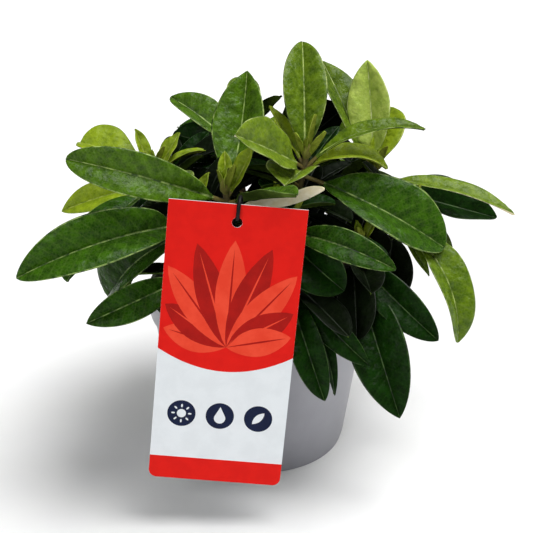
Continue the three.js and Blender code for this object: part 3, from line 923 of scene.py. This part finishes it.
def twig_curve(curve):
    """The twig runs on from its bough to its bud."""
    start = curve(BOUGH_SHARE)[0]
    end, direction = curve(1)
    middle = end - direction * (start - end).length / 2
    return curve_through(start, middle, end + direction * BUD_LENGTH)


def bud_radii():
    """The radii of a plump bud, from its foot to its point."""
    turns = [math.pi * mix(BUD_FOOT_SHARE, 1, k / BUD_STEPS) for k in range(BUD_STEPS)]
    return [BUD_RADIUS * math.sin(turn) ** BUD_FULLNESS for turn in turns] + [BUD_TIP_RADIUS]


def make_trunk():
    shape = bmesh.new()
    add_limb(shape, trunk_curve, TRUNK_RADII, *LIMBS["trunk"])
    finish_piece(piece_from(shape, "trunk_wood", [trunk_bark]), "bark", "trunk")


def make_boughs(curves):
    shape = bmesh.new()
    for curve in curves.values():
        add_limb(shape, curve, BOUGH_RADII, *LIMBS["bough"])
    nodes = ["bough_" + name for name in curves]
    finish_piece(piece_from(shape, "bough_wood", [trunk_bark]), "bark", *nodes)


def make_twigs(curves):
    shape = bmesh.new()
    for curve in curves.values():
        twig = twig_curve(curve)
        add_limb(shape, twig, TWIG_RADII, *LIMBS["twig"])
        add_limb(shape, twig, bud_radii(), *LIMBS["bud"], slot=1)
    finish_piece(piece_from(shape, "twig_wood", [twig_bark, bud_skin]), "bark")


# Leaves

def leaf_pocket(columns, stations):
    """A flat closed pocket, as points and faces.

    x runs across it from -1 to 1 and y along it from 0 to 1. z is 1 on top, -1 below and 0 round its rim.
    """
    shape = bmesh.new()
    bmesh.ops.create_grid(shape, x_segments=2 * columns, y_segments=stations, size=1)
    twin = bmesh.ops.duplicate(shape, geom=shape.verts[:] + shape.edges[:] + shape.faces[:])
    below = [part for part in twin["geom"] if isinstance(part, bmesh.types.BMFace)]
    bmesh.ops.reverse_faces(shape, faces=below)
    for vert in shape.verts:
        vert.co.z = 1
    for face in below:
        for vert in face.verts:
            vert.co.z = -1
    rim = [vert for vert in shape.verts if vert.is_boundary]
    for vert in rim:
        vert.co.z = 0
    bmesh.ops.remove_doubles(shape, verts=rim, dist=MERGE_GAP)
    shape.verts.index_update()
    points = np.array([vert.co for vert in shape.verts])
    points[:, 1] = 1 - (1 - (points[:, 1] + 1) / 2) ** STATION_CROWDING
    faces = np.array([[vert.index for vert in face.verts] for face in shape.faces])
    shape.free()
    return points, faces


def leaf_axes(leaf):
    """A leaf's own directions: along its chord, out of its upper face and across it."""
    bearing, pitch, roll = (math.radians(angle) for angle in (leaf.bearing, leaf.pitch, leaf.roll))
    chord = Vector((
        math.cos(pitch) * math.sin(bearing),
        -math.cos(pitch) * math.cos(bearing),
        math.sin(pitch),
    ))
    upright = Vector((
        -math.sin(pitch) * math.sin(bearing),
        math.sin(pitch) * math.cos(bearing),
        math.cos(pitch),
    ))
    face = upright * math.cos(roll) + chord.cross(upright) * math.sin(roll)
    return chord, face, chord.cross(face)


def half_width(share, width, form):
    """Half the leaf's width at shares of its length: a stalk, then a blade of the given form."""
    base, tip = LEAF_FORMS[form]
    widest = base / (base + tip)
    blade = np.clip((share - STALK_SHARE) / (1 - STALK_SHARE), 0, 1)
    swell = (blade / widest) ** base * ((1 - blade) / (1 - widest)) ** tip
    stalk = STALK_HALF_WIDTH * smooth_step(1, TIP_START, share) + TIP_HALF_WIDTH
    return np.maximum(stalk, width / 2 * swell)


def leaf_surface(points, foot, leaf, quirks):
    """The points of a leaf and their places along and across it, all in millimetres."""
    column, share, layer = points.T
    chord, face, side = (np.array(axis) for axis in leaf_axes(leaf))
    bend = math.radians(leaf.droop) or NEARLY_STRAIGHT
    radius = leaf.reach / (2 * math.sin(bend / 2))
    angle = bend / 2 - bend * share
    spine = (
        np.array(foot)
        + np.outer(radius * (math.sin(bend / 2) - np.sin(angle)), chord)
        + np.outer(radius * (np.cos(angle) - math.cos(bend / 2)), face)
    )
    upward = np.outer(np.cos(angle), face) - np.outer(np.sin(angle), chord)

    half = half_width(share, leaf.width, leaf.form)
    rib = np.minimum(mix(*RIB_HALF_WIDTH, share), RIB_MOST_SHARE * half)
    rib_edge = COLUMN_SHARES[1]
    spread = np.interp(np.abs(column), np.linspace(0, 1, len(COLUMN_SHARES)), COLUMN_SHARES)
    past_rib = np.clip((spread - rib_edge) / (1 - rib_edge), 0, 1)
    aside = np.where(spread <= rib_edge, spread / rib_edge * rib, rib + (half - rib) * past_rib)
    across = np.sign(column) * aside
    across_share = np.clip(aside / half, 0, 1)
    length = share * leaf.reach

    on_blade = smooth_step(STALK_SHARE, STALK_SHARE + BLADE_BLEND, share)
    lens = np.sqrt(1 - across_share ** 2)
    thick = mix(STALK_HALF_THICKNESS, BLADE_HALF_THICKNESS, on_blade) * lens
    camber = half * (quirks["keel"] * LEAF_KEEL * across_share - LEAF_CURL * across_share ** 4)
    between_veins = 0.5 - 0.5 * np.cos(math.tau * (length - VEIN_SLANT * aside) / VEIN_SPACING)
    quilted = smooth_step(*QUILT_RISE, across_share) * smooth_step(*QUILT_FALL, across_share)
    ripple = math.tau * (quirks["waves"] * share + quirks["phase"]) + (column > 0) * MARGIN_SIDE_PHASE
    wave = across_share ** 2 * np.sin(ripple)
    groove = np.where(
        layer > 0,
        -RIB_GROOVE * np.exp(-((aside / (RIB_GROOVE_SPREAD * rib)) ** 2)),
        -RIB_RIDGE * np.exp(-((aside / rib) ** 2)),
    )
    raised = camber + VEIN_QUILT * between_veins * quilted + quirks["wave"] * wave
    lift = layer * thick + on_blade * (raised + np.where(layer == 0, 0, groove))

    turn = (math.radians(quirks["twist"]) * on_blade * (share - 0.5))[:, None]
    out_side = side * np.cos(turn) + upward * np.sin(turn)
    out_up = upward * np.cos(turn) - side * np.sin(turn)
    placed = spine + out_side * across[:, None] + out_up * lift[:, None]
    return placed, np.column_stack([length, across])


def leaf_slots(points, faces, leaf):
    """The material slot of each face of a leaf."""
    middle = points[faces].mean(axis=1)
    column, share, layer = np.abs(middle[:, 0]), middle[:, 1], middle[:, 2]
    blade_slot = tint_slot[leaf.tint]
    slots = np.full(len(faces), blade_slot)
    slots[(column > 1 - 1 / LEAF_COLUMNS) | (column < 1 / LEAF_COLUMNS)] = blade_slot + len(TINTS)
    slots[layer < 0] = FELT_SLOTS.get(leaf.tint, DARK_FELT_SLOT)
    slots[share < STALK_SHARE + STALK_BLEND] = STALK_SLOT
    return slots


def leaf_foot(curve, pitch):
    """Where a leaf springs from its twig: the steeper it stands, the nearer the tip."""
    share = (pitch - FOOT_PITCHES[0]) / (FOOT_PITCHES[1] - FOOT_PITCHES[0])
    return curve(mix(*FOOT_SHARES, min(max(share, 0), 1)))[0]


def free_leaves(shoot, draw, index):
    """The free leaves of a shoot, in a spiral from its tip down."""
    def wobble():
        return (2 * draw() - 1) * FREE_WOBBLE

    deal = TINT_DEALS[shoot.deal]
    leaves = []
    for k in range(shoot.tries):
        share = k / max(shoot.tries - 1, 1)
        reach = mix(*FREE_REACH, share) + wobble() / 2
        bearing = shoot.phase + k * TURN + wobble()
        pitch = mix(shoot.steepest, FREE_LOWEST, share) + wobble()
        tint = deal[(k + index) % len(deal)]
        droop = mix(*FREE_DROOP, share)
        leaves.append(Leaf(bearing, pitch, reach, reach * FREE_WIDTH_SHARE, droop, wobble(), tint, "oval"))
    return leaves


def leaf_tip(curve, leaf):
    return leaf_foot(curve, leaf.pitch) + leaf_axes(leaf)[0] * leaf.reach


def crown_share(point):
    """How far out a point is, from 0 at the crown's middle to 1 at its edge."""
    out = point - CROWN_CENTRE
    return Vector((out.x / CROWN_RADII.x, out.y / CROWN_RADII.y, out.z / CROWN_RADII.z)).length


def shaded(leaf, tip):
    """A free leaf, with painted shade: a darker tint where it points into the crown."""
    share = crown_share(tip)
    for tint, limit in SHADED_LIMITS.items():
        if share < limit:
            return leaf._replace(tint=tint)
    return leaf


def tips_of(node):
    """A search tree over a solid's corners, to tell which leaves it has."""
    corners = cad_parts[node].data.vertices
    tree = KDTree(len(corners))
    for corner in corners:
        tree.insert(corner.co / MM, corner.index)
    tree.balance()
    return tree


def leaves_of_solids(curves):
    """The leaves that the solids have, by the source's rule, each as (shoot's name, foot, leaf)."""
    draw = number_stream(SEED)
    found = []
    for index, (name, shoot) in enumerate(SHOOTS.items()):
        curve = curves[name]
        corners = tips_of("foliage_" + name)
        for row in shoot.leaves:
            leaf = Leaf(*row)
            if corners.find(leaf_tip(curve, leaf))[2] < TIP_TOLERANCE:
                found.append((name, leaf_foot(curve, leaf.pitch), leaf))
        for leaf in free_leaves(shoot, draw, index):
            for turn, tilt in FREE_SHIFTS:
                shifted = leaf._replace(bearing=leaf.bearing + turn, pitch=leaf.pitch + tilt)
                tip = leaf_tip(curve, shifted)
                if corners.find(tip)[2] < TIP_TOLERANCE:
                    found.append((name, leaf_foot(curve, shifted.pitch), shaded(shifted, tip)))
                    break
    return found


def young_leaves(curves, draw):
    """A rosette of narrow young leaves round each bud."""
    found = []
    for name, shoot in SHOOTS.items():
        for k in range(YOUNG_COUNT):
            share = k / (YOUNG_COUNT - 1)
            reach = mix(*YOUNG_REACH, share) * mix(*YOUNG_REACH_QUIRK, draw())
            bearing = shoot.phase + YOUNG_TURN + k * TURN
            pitch = mix(*YOUNG_PITCH, share) + YOUNG_PITCH_WOBBLE * (draw() - 0.5)
            width = YOUNG_WIDTH_SHARE * reach
            leaf = Leaf(bearing, pitch, reach, width, YOUNG_DROOP, 0, "young", "lance")
            found.append((name, curves[name](1)[0], leaf))
    return found


def inner_leaves(curves, draw, grown, coarse):
    """Older leaves lower on the boughs, kept where they end inside the crown and are clear of the rest."""
    points, faces = coarse
    still = {"keel": 1, "waves": 1, "phase": 0, "wave": 0, "twist": 0}

    def blocker(foot, leaf):
        placed = leaf_surface(points, foot, leaf, still)[0]
        clear = points[:, 1] > INNER_FREE_FROM
        kept = [face for face in faces.tolist() if clear[face].all()]
        return BVHTree.FromPolygons(placed.tolist(), kept)

    blockers = [blocker(foot, leaf) for name, foot, leaf in grown]
    boughs = ["bough_" + name for name in SHOOTS]
    for node in ("pot", "soil", "trunk", "label_card", "label_loop", *boughs):
        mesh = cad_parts[node].data
        corners = [corner.co / MM for corner in mesh.vertices]
        blockers.append(BVHTree.FromPolygons(corners, [face.vertices[:] for face in mesh.polygons]))
    found = []
    # Inner leaves take mostly the near-black shade tint: painted shade inside the crown.
    deal = TINT_DEALS["inner"]
    for name, shoot in SHOOTS.items():
        for k in range(INNER_TRIES):
            share = k / (INNER_TRIES - 1)
            reach = mix(*INNER_REACH, draw())
            pitch = mix(*INNER_PITCH, share) + INNER_PITCH_WOBBLE * (draw() - 0.5)
            bearing = shoot.phase + INNER_TURN + k * TURN + INNER_TURN_WOBBLE * (draw() - 0.5)
            foot = curves[name](mix(*INNER_SHARES, share))[0]
            width = INNER_WIDTH_SHARE * reach
            leaf = Leaf(bearing, pitch, reach, width, INNER_DROOP, 0, deal[k % len(deal)], "oval")
            inside = crown_share(foot + leaf_axes(leaf)[0] * reach) < INNER_LIMIT
            tried = blocker(foot, leaf)
            if inside and not any(tried.overlap(other) for other in blockers):
                blockers.append(tried)
                found.append((name, foot, leaf))
    return found


def make_leaves(name, leaves, draw, pocket):
    """All the leaves of one shoot as one joined piece."""
    points, faces = pocket
    places, corners, slots, spots = [], [], [], []
    for index, (foot, leaf) in enumerate(leaves):
        quirks = {
            "keel": mix(*KEEL_QUIRK, draw()),
            "waves": mix(*MARGIN_WAVE_COUNT, draw()),
            "phase": draw(),
            "wave": mix(*MARGIN_WAVE, draw()) * leaf.width / MARGIN_WAVE_WIDTH,
            "twist": (2 * draw() - 1) * TWIST,
        }
        placed, spot = leaf_surface(points, foot, leaf, quirks)
        places.append(placed)
        spots.append(spot)
        corners.append(faces + index * len(points))
        slots.append(leaf_slots(points, faces, leaf))
    mesh = bpy.data.meshes.new("leaves_" + name)
    mesh.from_pydata((np.concatenate(places) * MM).tolist(), [], np.concatenate(corners).tolist())
    for material in leaf_materials:
        mesh.materials.append(material)
    mesh.polygons.foreach_set("material_index", np.concatenate(slots).astype(np.int32))
    mesh.polygons.foreach_set("use_smooth", np.ones(len(mesh.polygons), bool))
    loop_corners = np.zeros(len(mesh.loops), np.int32)
    mesh.loops.foreach_get("vertex_index", loop_corners)
    spread = mesh.uv_layers.new(name="along_and_across")
    spread.uv.foreach_set("vector", np.concatenate(spots)[loop_corners].astype(np.float32).ravel())
    mesh.update()
    finish_piece(into_scene("leaves_" + name, mesh), "leaf", "foliage_" + name)


# Label and strap

def label_frame():
    """The label's place: x across it, y up it and z out of its face."""
    swing = Matrix.Rotation(math.radians(LABEL_SWING), 4, "Y")
    lean = Matrix.Rotation(math.radians(90 - LABEL_LEAN), 4, "X")
    return Matrix.Translation(LABEL_TOP) @ swing @ lean


def add_plate(shape, rings, base, thickness, slot=0):
    """Adds a flat closed plate inside rings of points, its underside at a height over the label's back."""
    before = set(shape.faces)
    edges = []
    for ring in rings:
        corners = [shape.verts.new((x, y, base)) for x, y in ring]
        edges += [shape.edges.new(pair) for pair in zip(corners, corners[1:] + corners[:1])]
    bmesh.ops.triangle_fill(shape, edges=edges, use_beauty=True, use_dissolve=False, normal=(0, 0, 1))
    sheet = [face for face in shape.faces if face not in before]
    raised = bmesh.ops.extrude_face_region(shape, geom=sheet, use_keep_orig=True)
    tops = [part for part in raised["geom"] if isinstance(part, bmesh.types.BMVert)]
    bmesh.ops.translate(shape, verts=tops, vec=(0, 0, thickness))
    plate = [face for face in shape.faces if face not in before]
    for face in plate:
        face.material_index = slot
    bmesh.ops.recalc_face_normals(shape, faces=plate)


def arc(centre, radius, start, end, steps):
    """Points on an arc, its angles in degrees."""
    angles = [math.radians(mix(start, end, k / steps)) for k in range(steps + 1)]
    return [(centre[0] + radius * math.cos(a), centre[1] + radius * math.sin(a)) for a in angles]


def ring_of(centre, radius):
    return arc(centre, radius, 0, 360, ARC_STEPS["ring"])[:-1]


def lens_of(foot, heading, length, width, fullness=0.8):
    """A leaf-shaped outline from its foot along a heading in degrees, 0 straight up."""
    turn = math.radians(heading)
    ahead = (math.sin(turn), math.cos(turn))
    steps = ARC_STEPS["leaf"]
    shares = [k / steps for k in range(steps + 1)]
    halves = [width / 2 * math.sin(math.pi * share) ** fullness for share in shares]
    stretch = list(zip(shares, halves))
    edge = stretch[:-1] + [(share, -half) for share, half in reversed(stretch[1:])]
    return [
        (
            foot[0] + ahead[0] * length * share + ahead[1] * half,
            foot[1] + ahead[1] * length * share - ahead[0] * half,
        )
        for share, half in edge
    ]


def lower_corners(inset=0.0):
    """The label's rounded lower edge, from left to right, a little inside it."""
    middle = LABEL_WIDTH / 2 - LABEL_CORNER
    low = LABEL_CORNER - LABEL_LENGTH
    radius = LABEL_CORNER - inset
    left = arc((-middle, low), radius, 180, 270, ARC_STEPS["corner"])
    right = arc((middle, low), radius, 270, 360, ARC_STEPS["corner"])
    return left + right


def make_card():
    half = LABEL_WIDTH / 2
    outline = [(-half, 0), *lower_corners(), (half, 0)]
    hole = ring_of((0, -LABEL_HOLE_DROP), LABEL_HOLE_RADIUS)
    shape = bmesh.new()
    add_plate(shape, [outline, hole], 0, LABEL_THICKNESS)
    bmesh.ops.transform(shape, matrix=label_frame(), verts=shape.verts)
    finish_piece(piece_from(shape, "label_board", [card_white], smooth=False), "card", "label_card")


# The print's inks, and their slots on it
INKS = [card_white, ink_red, ink_coral, ink_deep_red, ink_navy]
WHITE, RED, CORAL, DEEP_RED, NAVY = range(len(INKS))


def print_field(shape, edge):
    """A red field with a sagging lower edge, and a red foot band."""
    sides = [mix(edge, -edge, k / FIELD_STEPS) for k in range(FIELD_STEPS + 1)]
    sagging = [(x, -FIELD_DEPTH - FIELD_SAG * (1 - (x / edge) ** 2)) for x in sides]
    field = [(-edge, -PRINT_INSET), (edge, -PRINT_INSET), *sagging]
    hole = ring_of((0, -LABEL_HOLE_DROP), LABEL_HOLE_RADIUS + PRINT_INSET)
    band = [(-edge, -BAND_TOP), *lower_corners(PRINT_INSET), (edge, -BAND_TOP)]
    for rings in ([field, hole], [band]):
        add_plate(shape, rings, LABEL_THICKNESS, PRINT_LIFT, RED)


def print_fan(shape, edge):
    """A fan of leaf shapes, pale and deep in turn, each with a rib of the other ink."""
    foot = (0, -FAN_FOOT)
    room = edge - FAN_MARGIN
    for k in range(FAN_COUNT):
        heading = mix(-FAN_SPREAD, FAN_SPREAD, k / (FAN_COUNT - 1))
        sideways = abs(math.sin(math.radians(heading)))
        length = room / max(sideways, room / FAN_LENGTH)
        base = LABEL_THICKNESS + PRINT_LIFT * (1 + FAN_STACKING * k)
        blade_ink, rib_ink = (DEEP_RED, CORAL) if k % 2 else (CORAL, DEEP_RED)
        add_plate(shape, [lens_of(foot, heading, length, FAN_WIDTH)], base, PRINT_LIFT, blade_ink)
        rib = lens_of(foot, heading, FAN_RIB_SHARE * length, FINE_LINE)
        add_plate(shape, [rib], base + PRINT_LIFT, PRINT_LIFT, rib_ink)


def print_signs(shape):
    """Three round care signs: a sun, a drop and a leaf."""
    for x in (-SIGN_APART, 0, SIGN_APART):
        add_plate(shape, [ring_of((x, -SIGN_DROP), SIGN_RADIUS)], LABEL_THICKNESS, PRINT_LIFT, NAVY)
    sun = (-SIGN_APART, -SIGN_DROP)
    marks = [ring_of(sun, SUN_RADIUS)]
    for k in range(SUN_RAYS):
        heading = 360 * k / SUN_RAYS
        turn = math.radians(heading)
        start = (sun[0] + RAY_START * math.sin(turn), sun[1] + RAY_START * math.cos(turn))
        marks.append(lens_of(start, heading, RAY_LENGTH, FINE_LINE, RAY_FULLNESS))
    drop = arc((0, -SIGN_DROP - DROP_SINK), DROP_RADIUS, *DROP_ARC, ARC_STEPS["drop"])
    marks.append([(0, DROP_TIP - SIGN_DROP), *drop])
    sprig = (SIGN_APART - SPRIG_FOOT[0], -SIGN_DROP - SPRIG_FOOT[1])
    marks.append(lens_of(sprig, SPRIG_HEADING, *SPRIG_SIZE))
    for mark in marks:
        add_plate(shape, [mark], LABEL_THICKNESS + PRINT_LIFT, PRINT_LIFT, WHITE)


def make_print():
    edge = LABEL_WIDTH / 2 - PRINT_INSET
    shape = bmesh.new()
    print_field(shape, edge)
    print_fan(shape, edge)
    print_signs(shape)
    bmesh.ops.transform(shape, matrix=label_frame(), verts=shape.verts)
    finish_piece(piece_from(shape, "label_print", INKS, smooth=False), "card")


def make_strap():
    """The strap: a smooth copy of its solid, swollen to make up for what smoothing takes off."""
    shape = bmesh.new()
    shape.from_mesh(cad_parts["label_loop"].data)
    bmesh.ops.scale(shape, vec=(1 / MM, 1 / MM, 1 / MM), verts=shape.verts)
    bmesh.ops.remove_doubles(shape, verts=shape.verts, dist=MERGE_GAP)
    shape.normal_update()
    for vert in shape.verts:
        vert.co += vert.normal * STRAP_SWELL
    strap = piece_from(shape, "label_strap", [strap_plastic])
    rounding = strap.modifiers.new("rounding", "SUBSURF")
    rounding.levels = 1
    rounding.render_levels = 1
    finish_piece(strap, "strap", "label_loop")


make_pot()
make_soil(number_stream(LOOKS_SEED + 1))
curves = {name: shoot_curve(shoot) for name, shoot in SHOOTS.items()}
make_trunk()
make_boughs(curves)
make_twigs(curves)

looks_draw = number_stream(LOOKS_SEED)
grown = leaves_of_solids(curves)
grown += inner_leaves(curves, looks_draw, grown, leaf_pocket(*INNER_GRID))
grown += young_leaves(curves, looks_draw)
pocket = leaf_pocket(LEAF_COLUMNS, LEAF_STATIONS)
for shoot_name in SHOOTS:
    own = [(foot, leaf) for name, foot, leaf in grown if name == shoot_name]
    make_leaves(shoot_name, own, looks_draw, pocket)

make_card()
make_print()
make_strap()
